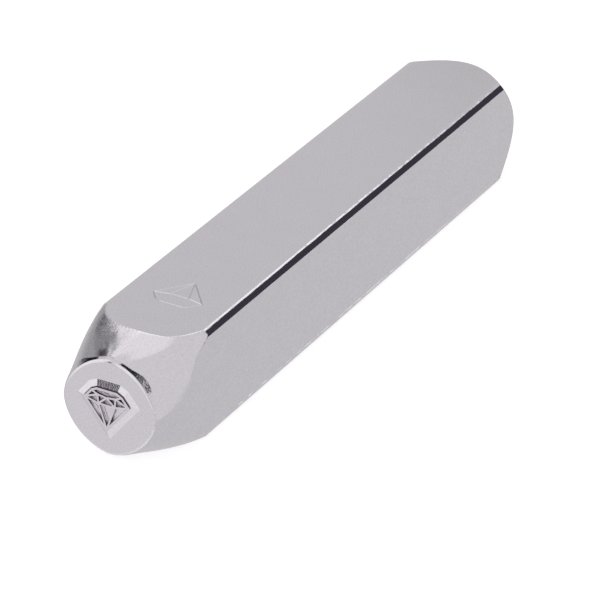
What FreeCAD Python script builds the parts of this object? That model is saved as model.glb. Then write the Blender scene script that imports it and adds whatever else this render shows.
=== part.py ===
import FreeCAD, Part
import math
import os

# A metal design stamp: one solid steel punch, lying on a flat of its square shank.
# X runs along the punch, from the die at the low end to the struck end at the high end.
# Z is up. The origin is under the middle of the punch. All sizes are in millimetres.

# Shank
shank_side = 10.0
shank_edge_radius = 0.6
overall_length = 64.5

# Round-to-square taper behind the die face. The section is a superellipse
# |y|^n + |z|^n = s^n: a circle at exponent 2, a little flatter at the diagonals below 2,
# and squarer as the exponent grows. The die face stands in from each flat by the step.
# The taper leaves the flats of the shank first and its corners further back.
nose_step = 0.55
nose_exponent = 1.65
flat_end_distance = 4.5
flat_end_exponent = 4.8
corner_end_distance = 7.5
corner_end_exponent = 8.5
corner_clearance = 0.05

# Rim of the die face: a narrow steeper band breaks the end of the taper, then a rounding.
# The band is given by how far it steps in at the face and how it opens over its reach.
rim_band_step = 0.15
rim_band_reach = 1.0
rim_band_opening = 0.47
rim_band_exponent = 1.75
rim_band_end_exponent = 1.92
nose_rim_radius = 0.26

# Cone turned on the struck end, its flat end standing in from each side by the step
struck_face_step = 0.5
struck_cone_half_angle = 35.5
struck_rim_radius = 0.3

# Relief on the die face: a low pedestal with sloping flanks carries the figure, which
# stands a little proud of them. The figure is drawn in ridges round sunken facets.
figure_width = 4.05
figure_centre_height = 0.72
pedestal_height = 0.4
pedestal_flank = 0.6
figure_step = 0.12
figure_step_draft = 0.02
outline_width = 0.18
ridge_width = 0.15
pocket_depth = 0.3
pocket_draft = 0.07

# The same figure as a thin-line mark in the top flat
mark_width = 4.65
mark_distance = 10.85
mark_line_width = 0.11
mark_depth = 0.07

# Proportions of the faceted gem, as shares of its width, girdle level at zero
shoulder_out = 0.345
shoulder_up = 0.19
crown_out = 0.23
crown_up = 0.25
table_out = 0.21
table_up = 0.13
table_middle_up = 0.10
front_girdle_out = 0.19
front_girdle_down = 0.07
culet_down = 0.62

# Places that follow from the sizes
half_side = shank_side / 2
nose_half_width = half_side - nose_step
struck_face_radius = half_side - struck_face_step
relief_x = -overall_length / 2
face_x = relief_x + pedestal_height
struck_x = overall_length / 2
corner_reach = (half_side - shank_edge_radius) * math.sqrt(2) + shank_edge_radius
clear = shank_side


def gem_points():
    """Corners of the gem by name, (across, up), for a gem of width 1."""
    points = {"culet": (0.0, -culet_down), "table_middle": (0.0, table_middle_up)}
    for side, sign in (("left", -1), ("right", 1)):
        points["girdle_" + side] = (sign * 0.5, 0.0)
        points["shoulder_" + side] = (sign * shoulder_out, shoulder_up)
        points["crown_" + side] = (sign * crown_out, crown_up)
        points["table_" + side] = (sign * table_out, table_up)
        points["front_" + side] = (sign * front_girdle_out, -front_girdle_down)
    return points


gem = gem_points()

gem_outline = [
    "girdle_left", "culet", "girdle_right", "shoulder_right",
    "crown_right", "crown_left", "shoulder_left",
]

# Facets seen from the front, each listed anticlockwise
gem_facets = [
    ["girdle_left", "table_left", "shoulder_left"],
    ["table_left", "table_middle", "table_right", "shoulder_right",
     "crown_right", "crown_left", "shoulder_left"],
    ["girdle_right", "shoulder_right", "table_right"],
    ["girdle_left", "front_left", "table_left"],
    ["front_left", "table_middle", "table_left"],
    ["front_left", "front_right", "table_middle"],
    ["front_right", "table_right", "table_middle"],
    ["front_right", "girdle_right", "table_right"],
    ["girdle_left", "culet", "front_left"],
    ["front_left", "culet", "front_right"],
    ["front_right", "culet", "girdle_right"],
]

# Lines of the mark: the outline and the facet edges that a thin cut shows
mark_lines = [
    ["girdle_left", "culet", "girdle_right", "shoulder_right", "crown_right",
     "crown_left", "shoulder_left", "girdle_left"],
    ["girdle_left", "front_left", "front_right", "girdle_right"],
    ["front_left", "culet"],
    ["front_right", "culet"],
]


def figure_outline(names, width):
    """Corners of a named outline at real width, as (across, up) pairs."""
    return [(gem[name][0] * width, gem[name][1] * width) for name in names]


def inset(corners, distance):
    """A convex anticlockwise outline moved inwards; a negative distance grows it."""
    count = len(corners)
    lines = []
    for index in range(count):
        start = FreeCAD.Vector(*corners[index], 0)
        along = FreeCAD.Vector(*corners[(index + 1) % count], 0) - start
        along.normalize()
        inward = FreeCAD.Vector(-along.y, along.x, 0)
        lines.append((start + inward * distance, along))
    moved = []
    for index in range(count):
        point, along = lines[index - 1]
        other_point, other_along = lines[index]
        gap = other_point - point
        reach = gap.cross(other_along).z / along.cross(other_along).z
        corner = point + along * reach
        moved.append((corner.x, corner.y))
    return moved


def closed_wire(points):
    return Part.makePolygon(points + [points[0]])


def superellipse_wire(x, half_side_here, exponent):
    """Closed smooth section of the taper across the punch at x."""
    steps = 48
    points = []
    for step in range(steps):
        angle = 2 * math.pi * step / steps
        across = math.cos(angle)
        up = math.sin(angle)
        reach = (abs(across) ** exponent + abs(up) ** exponent) ** (-1 / exponent)
        radius = half_side_here * reach
        points.append(FreeCAD.Vector(x, radius * across, half_side + radius * up))
    curve = Part.BSplineCurve()
    curve.interpolate(points, PeriodicFlag=True)
    return Part.Wire(curve.toShape())


def shank():
    """Square bar with its four long edges rounded."""
    corner = FreeCAD.Vector(face_x, -half_side, 0)
    bar = Part.makeBox(struck_x - face_x, shank_side, shank_side, corner)
    long_edges = [
        edge for edge in bar.Edges
        if abs(edge.tangentAt(edge.FirstParameter).x) > 0.9
    ]
    return bar.makeFillet(shank_edge_radius, long_edges)


def outside_loft(sections, length, ruled):
    """A block round the die end, less the form that runs through the sections."""
    form = Part.makeLoft(sections, True, ruled)
    corner = FreeCAD.Vector(face_x, -clear, half_side - clear)
    block = Part.makeBox(length, 2 * clear, 2 * clear, corner)
    return block.cut(form)


def outside_taper():
    """What the maker takes off round the die end, to be cut from the shank."""
    diagonal = math.sqrt(2) * 2 ** (-1 / corner_end_exponent)
    corner_end_half_side = (corner_reach + corner_clearance) / diagonal
    sections = [
        superellipse_wire(face_x, nose_half_width, nose_exponent),
        superellipse_wire(face_x + flat_end_distance, half_side, flat_end_exponent),
        superellipse_wire(
            face_x + corner_end_distance, corner_end_half_side, corner_end_exponent
        ),
    ]
    return outside_loft(sections, corner_end_distance, False)


def outside_rim_band():
    """What the steeper band takes off the end of the taper."""
    inner = nose_half_width - rim_band_step
    sections = [
        superellipse_wire(face_x, inner, rim_band_exponent),
        superellipse_wire(
            face_x + rim_band_reach, inner + rim_band_opening, rim_band_end_exponent
        ),
    ]
    return outside_loft(sections, rim_band_reach, True)


def outside_struck_cone():
    """What is turned off round the struck end, a ring with a conical bore."""
    slope = math.tan(math.radians(struck_cone_half_angle))
    cone_length = (clear - struck_face_radius) / slope
    outline = [
        FreeCAD.Vector(struck_x, struck_face_radius, 0),
        FreeCAD.Vector(struck_x, clear, 0),
        FreeCAD.Vector(struck_x - cone_length, clear, 0),
    ]
    section = Part.Face(closed_wire(outline))
    ring = section.revolve(FreeCAD.Vector(0, 0, 0), FreeCAD.Vector(1, 0, 0), 360)
    ring.translate(FreeCAD.Vector(0, 0, half_side))
    return ring


def end_edges(solid, x):
    """Edges that lie wholly in the end plane at x."""
    return [
        edge for edge in solid.Edges
        if abs(edge.BoundBox.XMin - x) < 0.01 and abs(edge.BoundBox.XMax - x) < 0.01
    ]


def on_die_face(corners, height):
    """Figure corners placed on the die face, at a height above it.

    The face looks towards low X, so across runs towards low Y when it is faced.
    """
    centre_up = half_side + figure_centre_height
    return [
        FreeCAD.Vector(face_x - height, -across, centre_up + up)
        for across, up in corners
    ]


def pedestal():
    """Raised table in the outline of the gem: sloping flanks, then a steep low step."""
    facets = figure_outline(gem_outline, figure_width)
    top = inset(facets, ridge_width / 2 - outline_width)
    shoulder = inset(top, -figure_step_draft)
    foot = inset(top, -pedestal_flank)
    flank_height = pedestal_height - figure_step
    sink = flank_height / 2
    root = inset(foot, -(pedestal_flank - figure_step_draft) * sink / flank_height)
    return Part.makeLoft(
        [
            closed_wire(on_die_face(root, -sink)),
            closed_wire(on_die_face(foot, 0)),
            closed_wire(on_die_face(shoulder, flank_height)),
            closed_wire(on_die_face(top, pedestal_height)),
        ],
        True,
        True,
    )


def facet_pocket(names):
    """Sunken facet between the ridges, its walls drawn in towards the floor."""
    mouth = inset(figure_outline(names, figure_width), ridge_width / 2)
    floor = inset(mouth, pocket_draft)
    over = pocket_depth
    above = inset(mouth, -pocket_draft)
    return Part.makeLoft(
        [
            closed_wire(on_die_face(floor, pedestal_height - pocket_depth)),
            closed_wire(on_die_face(above, pedestal_height + over)),
        ],
        True,
        True,
    )


def on_top_flat(corners, height):
    """Mark corners placed on the top flat, the gem's point away from the die."""
    return [
        FreeCAD.Vector(face_x + mark_distance - up, -across, shank_side + height)
        for across, up in corners
    ]


def mark_stroke(start, end):
    """One straight cut of the mark with a V section and pointed ends."""
    line = end - start
    length = line.Length
    along = FreeCAD.Vector(line).normalize()
    side = FreeCAD.Vector(-along.y, along.x, 0) * (mark_line_width / 2)
    low = start - FreeCAD.Vector(0, 0, mark_depth)
    high = FreeCAD.Vector(0, 0, mark_depth)
    section = closed_wire([low, start + side, start + side + high,
                           start - side + high, start - side])
    return Part.Face(section).extrude(along * length)


def mark_cuts():
    """All strokes of the mark, cut one after another."""
    strokes = []
    for names in mark_lines:
        points = on_top_flat(figure_outline(names, mark_width), 0)
        for start, end in zip(points, points[1:]):
            strokes.append(mark_stroke(start, end))
    return strokes


def design_stamp():
    """The whole punch, one solid."""
    body = shank().cut(outside_taper()).cut(outside_rim_band()).cut(outside_struck_cone())
    body = body.makeFillet(nose_rim_radius, end_edges(body, face_x))
    body = body.makeFillet(struck_rim_radius, end_edges(body, struck_x))
    body = body.fuse(pedestal())
    for names in gem_facets:
        body = body.cut(facet_pocket(names))
    for stroke in mark_cuts():
        body = body.cut(stroke)
    return body.removeSplitter()


os.makedirs("parts", exist_ok=True)
stamp = design_stamp()
stamp.exportStep("parts/design_stamp.step")
box = stamp.optimalBoundingBox(False)
print("solids", len(stamp.Solids), "valid", stamp.isValid(), "volume", round(stamp.Volume, 1))
print("size", round(box.XLength, 3), round(box.YLength, 3), round(box.ZLength, 3))
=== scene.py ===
import bpy
from math import cos, degrees, radians, sin
from mathutils import Matrix, Vector

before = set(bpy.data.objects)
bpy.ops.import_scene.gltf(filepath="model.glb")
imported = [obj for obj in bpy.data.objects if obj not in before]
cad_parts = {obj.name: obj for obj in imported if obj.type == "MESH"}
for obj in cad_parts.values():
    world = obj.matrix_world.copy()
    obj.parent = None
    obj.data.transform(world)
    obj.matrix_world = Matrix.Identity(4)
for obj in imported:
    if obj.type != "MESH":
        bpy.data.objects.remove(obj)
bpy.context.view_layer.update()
scene = bpy.context.scene

# The camera looks down on the die end from a third of a metre away, with a long lens.
# The picture's frame is square and the lens is not shifted.
camera_place = Vector((-0.26854, -0.14494, 0.16643))
camera_right = Vector((0.48318, -0.87534, 0.01753))
camera_down = Vector((-0.41191, -0.24495, -0.87769))
camera_ahead = Vector((0.77257, 0.41686, -0.47892))
camera_data = bpy.data.cameras.new("camera")
camera_data.sensor_width = 36
camera_data.lens = 239.5
camera_data.clip_start = 0.01
camera = bpy.data.objects.new("camera", camera_data)
scene.collection.objects.link(camera)
axes = Matrix((camera_right, -camera_down, -camera_ahead)).transposed()
camera.matrix_world = Matrix.Translation(camera_place) @ axes.to_4x4()
scene.camera = camera
scene.view_settings.view_transform = "Standard"

# The studio: a light tent of pale cloth with gaps between its panels, which the plated
# metal mirrors. A panel is a window in heading and height, a strip runs between two
# directions, both in degrees as seen from the stamp, and each lies over those before it.
world = bpy.data.worlds.new("light_tent")
scene.world = world
world.use_nodes = True
tent = world.node_tree
tent.nodes.clear()
looking = tent.nodes.new("ShaderNodeTexCoord").outputs["Generated"]


def tent_math(operation, first, second=None):
    """A sum in the tent's nodes, of numbers or of other nodes' outputs."""
    node = tent.nodes.new("ShaderNodeMath")
    node.operation = operation
    for socket, value in zip(node.inputs, (first, second)):
        if isinstance(value, (int, float)):
            socket.default_value = value
        elif value is not None:
            tent.links.new(value, socket)
    return node.outputs[0]


def tent_ramp(value, low, high):
    """0 below low and 1 above high, with a smooth step between."""
    node = tent.nodes.new("ShaderNodeMapRange")
    node.interpolation_type = "SMOOTHSTEP"
    node.inputs["From Min"].default_value = low
    node.inputs["From Max"].default_value = high
    tent.links.new(value, node.inputs["Value"])
    return node.outputs["Result"]


def tent_vector(operation, first, second):
    """A sum of two directions; the node is returned, as its outputs differ."""
    node = tent.nodes.new("ShaderNodeVectorMath")
    node.operation = operation
    for socket, value in zip(node.inputs, (first, second)):
        if isinstance(value, Vector):
            socket.default_value = value
        else:
            tent.links.new(value, socket)
    return node


def tent_lay(light, mask, brightness):
    """Cloth of another brightness over the light so far, where the mask is 1."""
    mix = tent.nodes.new("ShaderNodeMix")
    tent.links.new(mask, mix.inputs[0])
    tent.links.new(light, mix.inputs[2])
    if isinstance(brightness, (int, float)):
        mix.inputs[3].default_value = brightness
    else:
        tent.links.new(brightness, mix.inputs[3])
    return mix.outputs[0]


split = tent.nodes.new("ShaderNodeSeparateXYZ")
tent.links.new(looking, split.inputs[0])
turn = tent_math("ARCTAN2", split.outputs["Y"], split.outputs["X"])
heading = tent_math("MULTIPLY", turn, degrees(1))
rise = tent_math("ARCSINE", split.outputs["Z"])
height = tent_math("MULTIPLY", rise, degrees(1))
half_turn = 180.0


def tent_panel(light, headings, heights, soft, brightness):
    """A panel between two headings and two heights, its edges soft degrees each way."""
    middle = (headings[0] + headings[1]) / 2
    reach = (headings[1] - headings[0]) / 2
    turned = tent_math("WRAP", tent_math("SUBTRACT", heading, middle), half_turn)
    turned.node.inputs[2].default_value = -half_turn
    away = tent_math("ABSOLUTE", turned)
    past_side = tent_ramp(away, reach - soft, reach + soft)
    past_bottom = tent_ramp(height, heights[0] - soft, heights[0] + soft)
    past_top = tent_ramp(height, heights[1] - soft, heights[1] + soft)
    in_width = tent_math("SUBTRACT", 1.0, past_side)
    below_top = tent_math("SUBTRACT", 1.0, past_top)
    in_height = tent_math("MULTIPLY", past_bottom, below_top)
    return tent_lay(light, tent_math("MULTIPLY", in_width, in_height), brightness)


def tent_direction(heading_here, height_here):
    flat = cos(radians(height_here))
    return Vector((
        flat * cos(radians(heading_here)),
        flat * sin(radians(heading_here)),
        sin(radians(height_here)),
    ))


def tent_strip(light, start, end, half_width, soft, brightness):
    """A strip from one (heading, height) to another, with round ends."""
    first = tent_direction(*start)
    run = tent_direction(*end) - first
    from_first = tent_vector("SUBTRACT", looking, first).outputs[0]
    along_run = tent_vector("DOT_PRODUCT", from_first, run / run.length_squared)
    share = tent_math("MULTIPLY", along_run.outputs["Value"], 1.0)
    share.node.use_clamp = True
    nearest = tent.nodes.new("ShaderNodeVectorMath")
    nearest.operation = "SCALE"
    nearest.inputs[0].default_value = run
    tent.links.new(share, nearest.inputs["Scale"])
    away = tent_vector("DISTANCE", from_first, nearest.outputs[0]).outputs["Value"]
    outside = tent_ramp(away, radians(half_width - soft), radians(half_width + soft))
    return tent_lay(light, tent_math("SUBTRACT", 1.0, outside), brightness)


# the dark cloth hangs in folds
fold_contrast = 1.1
fold_shift = -0.27
fold_shade = 0.05
cloth = tent.nodes.new("ShaderNodeTexNoise")
cloth.inputs["Scale"].default_value = 17
cloth.inputs["Detail"].default_value = 1
tent.links.new(looking, cloth.inputs["Vector"])
contrasted = tent_math("MULTIPLY", cloth.outputs[0], fold_contrast)
folds = tent_math("MAXIMUM", tent_math("ADD", contrasted, fold_shift), fold_shade)

# brightness of the cloths, gaps and seams that come more than once
main_cloth = 0.62
pale_cloth = 0.72
lath = 0.88
white_screen = 0.96
bright_seam = 1.15
white_seam = 1.4
open_gap = 0.015

light = tent_math("ADD", main_cloth, 0.0)
# ceiling, with a brighter lath in its left end, a shade at its foot and a white seam
light = tent_panel(light, (-180, 180), (48, 100), 5, pale_cloth)
light = tent_strip(light, (38, 42), (36, 52), 4.5, 1.2, lath)
light = tent_strip(light, (36, 52), (31, 62), 4.5, 1.2, lath)
light = tent_strip(light, (31, 62), (20, 69), 4.2, 1.2, lath)
light = tent_strip(light, (20, 69), (13, 71.5), 3.2, 1.2, 0.86)
light = tent_panel(light, (19, 26.6), (19, 25.8), 1.2, 0.54)
light = tent_strip(light, (33.2, 38), (29, 39.5), 2.1, 0.6, white_seam)
light = tent_strip(light, (29, 39.5), (20, 40), 2.6, 0.6, white_seam)
# pale table before the die, and the wall on the right
light = tent_panel(light, (95, 225), (-100, -3), 3, pale_cloth)
light = tent_panel(light, (60, 240), (-90, -48), 4, 0.84)
light = tent_panel(light, (-125, -47), (-28, 60), 3, pale_cloth)
# the gap on the right, with a bright seam above it and one low down in it
light = tent_strip(light, (20, 37), (14, 38), 2.2, 0.8, bright_seam)
light = tent_strip(light, (14, 38), (-10, 39), 2.4, 0.8, bright_seam)
light = tent_panel(light, (-47, -8), (-22, 40), 1.2, 0.045)
light = tent_panel(light, (-38, -30), (-24.7, -21.7), 0.6, bright_seam)
# dark cloth in folds on the left, lighter towards the table and at its far side
light = tent_panel(light, (46.3, 75), (-26, 42), 1, 0.56)
light = tent_panel(light, (46.3, 75), (0, 42), 5, 0.43)
light = tent_panel(light, (46.3, 75), (17, 42), 4, folds)
light = tent_panel(light, (61.5, 75), (12, 30), 3, 0.37)
# the near edge of the dark cloth, with a light gap, a black gap and a black fold
light = tent_panel(light, (41.2, 50), (38.6, 43), 0.7, folds)
light = tent_panel(light, (43.4, 49.5), (36.6, 42.5), 0.9, 0.27)
light = tent_panel(light, (41.5, 47.6), (28, 35.6), 0.9, 0.74)
light = tent_strip(light, (39.3, 31), (37.3, 36), 1.6, 0.4, 0.01)
light = tent_strip(light, (51, 30.8), (58, 26.3), 1.7, 0.9, 0.04)
# a dark slit high on the left
light = tent_panel(light, (60, 74), (58, 70), 2, 0.03)
# behind the camera: a gap, a white screen, the dark of the lens and a white screen
light = tent_panel(light, (73, 98), (3, 33), 2, open_gap)
light = tent_panel(light, (100, 146), (-16, 60), 3, white_screen)
light = tent_panel(light, (149, 158), (8, 24), 1.5, 0.05)
light = tent_panel(light, (162, 205), (4, 50), 2, white_screen)
light = tent_panel(light, (183, 210), (-12, 6), 3, 0.86)
# the gap between the wall and the ceiling, which widens as it climbs
light = tent_strip(light, (-106, 26), (-114, 42), 2.2, 0.8, open_gap)
light = tent_strip(light, (-114, 42), (-122, 60), 3.6, 1, open_gap)
light = tent_strip(light, (-122, 60), (-150, 80), 6, 1, open_gap)

glow = tent.nodes.new("ShaderNodeBackground")
tent.links.new(light, glow.inputs["Strength"])
# the gaps between the cloths look a little violet
gap_violet = (1.0, 0.93, 1.22, 1)
white = (1, 1, 1, 1)
tint = tent.nodes.new("ShaderNodeMix")
tint.data_type = "RGBA"
tint.inputs["A"].default_value = gap_violet
tint.inputs["B"].default_value = white
tent.links.new(tent_ramp(light, 0.05, 0.30), tint.inputs["Factor"])
tent.links.new(tint.outputs["Result"], glow.inputs["Color"])
# the camera itself sees plain white beyond the floor
plain = tent.nodes.new("ShaderNodeBackground")
plain.inputs["Color"].default_value = white
plain.inputs["Strength"].default_value = 1.0
path = tent.nodes.new("ShaderNodeLightPath")
choose = tent.nodes.new("ShaderNodeMixShader")
tent.links.new(path.outputs["Is Camera Ray"], choose.inputs[0])
tent.links.new(glow.outputs[0], choose.inputs[1])
tent.links.new(plain.outputs[0], choose.inputs[2])
tent_out = tent.nodes.new("ShaderNodeOutputWorld")
tent.links.new(choose.outputs[0], tent_out.inputs["Surface"])

# The floor: a pale matt table that the stamp lies on. It glows a little, so that it is
# as white as its surroundings, and the metal mirrors the tent in its place.
floor_width = 6
bpy.ops.object.select_all(action="DESELECT")
bpy.ops.mesh.primitive_plane_add(size=floor_width, location=(0, 0, 0))
floor = bpy.context.object
floor.name = "floor"
floor_material = bpy.data.materials.new("pale_table")
floor_material.use_nodes = True
floor_shader = floor_material.node_tree.nodes["Principled BSDF"]
floor_shader.inputs["Base Color"].default_value = (0.95, 0.95, 0.95, 1)
floor_shader.inputs["Roughness"].default_value = 0.9
floor_shader.inputs["Emission Color"].default_value = (1, 1, 1, 1)
floor_shader.inputs["Emission Strength"].default_value = 0.55
floor.data.materials.append(floor_material)
floor.visible_glossy = False

# The stamp: one solid punch of tool steel. It is ground on its flats, blended by hand
# round the die end, hardened, and bright nickel plated all over. Lengths are in metres.
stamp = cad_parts["design_stamp"]
plated = bpy.data.materials.new("bright_plated_steel")
plated.use_nodes = True
nodes = plated.node_tree.nodes
links = plated.node_tree.links
shader = nodes["Principled BSDF"]
shader.inputs["Metallic"].default_value = 1.0
place = nodes.new("ShaderNodeTexCoord").outputs["Object"]


def steel_noise(scale, detail, stretch=(1, 1, 1)):
    """Noise in the metal; a stretch below 1 draws it out along that axis."""
    mapping = nodes.new("ShaderNodeMapping")
    mapping.inputs["Scale"].default_value = stretch
    links.new(place, mapping.inputs["Vector"])
    noise = nodes.new("ShaderNodeTexNoise")
    noise.inputs["Scale"].default_value = scale
    noise.inputs["Detail"].default_value = detail
    links.new(mapping.outputs[0], noise.inputs["Vector"])
    return noise.outputs[0]


def steel_range(value, from_low, from_high, to_low=0.0, to_high=1.0):
    """The value run from one range to another, and held at both ends."""
    node = nodes.new("ShaderNodeMapRange")
    links.new(value, node.inputs["Value"])
    node.inputs["From Min"].default_value = from_low
    node.inputs["From Max"].default_value = from_high
    node.inputs["To Min"].default_value = to_low
    node.inputs["To Max"].default_value = to_high
    return node.outputs["Result"]


def steel_math(operation, first, second=0.0):
    """A sum in the metal's nodes, of numbers or of other nodes' outputs."""
    node = nodes.new("ShaderNodeMath")
    node.operation = operation
    for socket, value in zip(node.inputs, (first, second)):
        if isinstance(value, (int, float)):
            socket.default_value = value
        else:
            links.new(value, socket)
    return node.outputs[0]


def steel_away(coordinate, middle):
    """How far a coordinate is from a middle, either way."""
    return steel_math("ABSOLUTE", steel_math("SUBTRACT", coordinate, middle))


def steel_colours(factor, colour_at_0, colour_at_1):
    """A mix of two colours; the first may be another node's output."""
    mix = nodes.new("ShaderNodeMix")
    mix.data_type = "RGBA"
    links.new(factor, mix.inputs["Factor"])
    if isinstance(colour_at_0, tuple):
        mix.inputs["A"].default_value = colour_at_0
    else:
        links.new(colour_at_0, mix.inputs["A"])
    mix.inputs["B"].default_value = colour_at_1
    return mix.outputs["Result"]


def steel_bump(height_map, depth, under):
    """A relief of the given depth over the normals so far."""
    bump = nodes.new("ShaderNodeBump")
    bump.inputs["Strength"].default_value = 1.0
    bump.inputs["Distance"].default_value = depth
    links.new(height_map, bump.inputs["Height"])
    links.new(under, bump.inputs["Normal"])
    return bump.outputs["Normal"]


axis = nodes.new("ShaderNodeSeparateXYZ")
links.new(place, axis.inputs[0])
x_place = axis.outputs["X"]
y_place = axis.outputs["Y"]
z_place = axis.outputs["Z"]

# 1 on the hand-blended taper, 0 on the ground flats
on_taper = steel_range(x_place, -0.0243, -0.0262)
# 1 on the relief, which stands out of the die face
on_relief = steel_range(x_place, -0.03186, -0.03190)
# 1 along the mark, whose cuts are finer than the edges elsewhere
mark_middle = -0.0203
on_mark = steel_range(steel_away(x_place, mark_middle), 0.0027, 0.0029, 1.0, 0.0)
# 1 where the taper meets the flats
shoulder_middle = -0.0269
on_shoulder = steel_range(
    steel_away(x_place, shoulder_middle), 0.0034, 0.0036, 1.0, 0.0
)
# 1 on the four long edges of the shank
shank_middle_height = 0.005
at_side = steel_range(steel_away(y_place, 0.0), 0.0043, 0.0045)
at_top_or_foot = steel_range(steel_away(z_place, shank_middle_height), 0.0043, 0.0045)
on_edge = steel_math("MULTIPLY", at_side, at_top_or_foot)
# 1 on the far side of the taper, which was finished on a coarser belt
far_side = steel_range(y_place, 0.0012, 0.0024)
coarse = steel_math("MULTIPLY", on_taper, far_side)

# patterns in the plated metal, from fine to broad
along_punch = (0.2, 1, 1)
speckle = steel_noise(10500, 4)
brushed = steel_noise(7500, 3, along_punch)
grain = steel_noise(6500, 3)
waver = steel_noise(1500, 2, (0.5, 1, 1))
cloud = steel_noise(420, 4)

# colour of the plating, uneven in a fine grain, with fine streaks along the taper
plating_dark = (0.745, 0.71, 0.76, 1)
plating_light = (0.855, 0.82, 0.87, 1)
grain_share = 0.85
cloud_share = 0.15
streak_share = 0.35
uneven = steel_math(
    "ADD",
    steel_math("MULTIPLY", grain, grain_share),
    steel_math("MULTIPLY", cloud, cloud_share),
)
streaks = steel_math(
    "MULTIPLY",
    steel_math("SUBTRACT", brushed, 0.5),
    steel_math("MULTIPLY", on_taper, streak_share),
)
shade = steel_range(steel_math("ADD", uneven, streaks), 0.30, 0.70)
tone = steel_colours(shade, plating_dark, plating_light)

# painted shade: the base colour is darkened in the sunken facets where they are
# occluded, under the tops of the ridges and at the foot of the step over the crown
recess = nodes.new("ShaderNodeAmbientOcclusion")
recess.samples = 8
recess.only_local = True
recess.inputs["Distance"].default_value = 0.00032
deep = steel_range(recess.outputs["AO"], 0.10, 0.52, 0.7, 0.0)
in_facets = steel_math("MULTIPLY", deep, on_relief)
below_ridges = steel_range(x_place, -0.03214, -0.03216, 0.0, 0.95)
under_tops = steel_range(x_place, -0.03221, -0.03223, 1.0, 0.0)
under_ridges = steel_math("MULTIPLY", below_ridges, under_tops)
over_crown = steel_range(z_place, 0.0057, 0.0059, 0.0, 0.97)
flank_end = steel_range(x_place, -0.03208, -0.03211)
crown_step = steel_math("MULTIPLY", flank_end, over_crown)
crown_foot = steel_math("MULTIPLY", crown_step, under_tops)
on_steps = steel_math("MAXIMUM", under_ridges, crown_foot)
# how strongly the painted shade darkens the base colour in those places
painted_shade = steel_math("MAXIMUM", in_facets, on_steps)
painted_shade_colour = (0.08, 0.045, 0.065, 1)
# the plating's tone with the painted shade laid over it
tone_with_painted_shade = steel_colours(painted_shade, tone, painted_shade_colour)
links.new(tone_with_painted_shade, shader.inputs["Base Color"])

# the plating is almost a mirror
links.new(steel_range(cloud, 0.3, 0.7, 0.06, 0.09), shader.inputs["Roughness"])

# small rounding of the edges, finer on the relief and least on the mark, and softer
# where the hand-blended taper meets the flats
radius_general = 0.00011
radius_on_relief = 0.00006
less_on_mark = 0.00008
more_on_shoulder = 0.00019
edge_radius = steel_range(on_relief, 0.0, 1.0, radius_general, radius_on_relief)
edge_radius = steel_math(
    "SUBTRACT", edge_radius, steel_math("MULTIPLY", on_mark, less_on_mark)
)
edge_radius = steel_math(
    "ADD", edge_radius, steel_math("MULTIPLY", on_shoulder, more_on_shoulder)
)
soft_edge = nodes.new("ShaderNodeBevel")
soft_edge.samples = 8
links.new(edge_radius, soft_edge.inputs["Radius"])

# fine reliefs of the surface; the long edges were rounded by hand, so they waver
grain_depth = 0.0000032
speckle_depth = 0.000009
brushed_depth = 0.0000015
coarse_depth = 0.000015
waver_depth = 0.00003
normal = soft_edge.outputs["Normal"]
normal = steel_bump(grain, grain_depth, normal)
normal = steel_bump(steel_math("MULTIPLY", speckle, on_relief), speckle_depth, normal)
normal = steel_bump(steel_math("MULTIPLY", brushed, on_taper), brushed_depth, normal)
normal = steel_bump(steel_math("MULTIPLY", brushed, coarse), coarse_depth, normal)
normal = steel_bump(steel_math("MULTIPLY", waver, on_edge), waver_depth, normal)
links.new(normal, shader.inputs["Normal"])
stamp.data.materials.clear()
stamp.data.materials.append(plated)
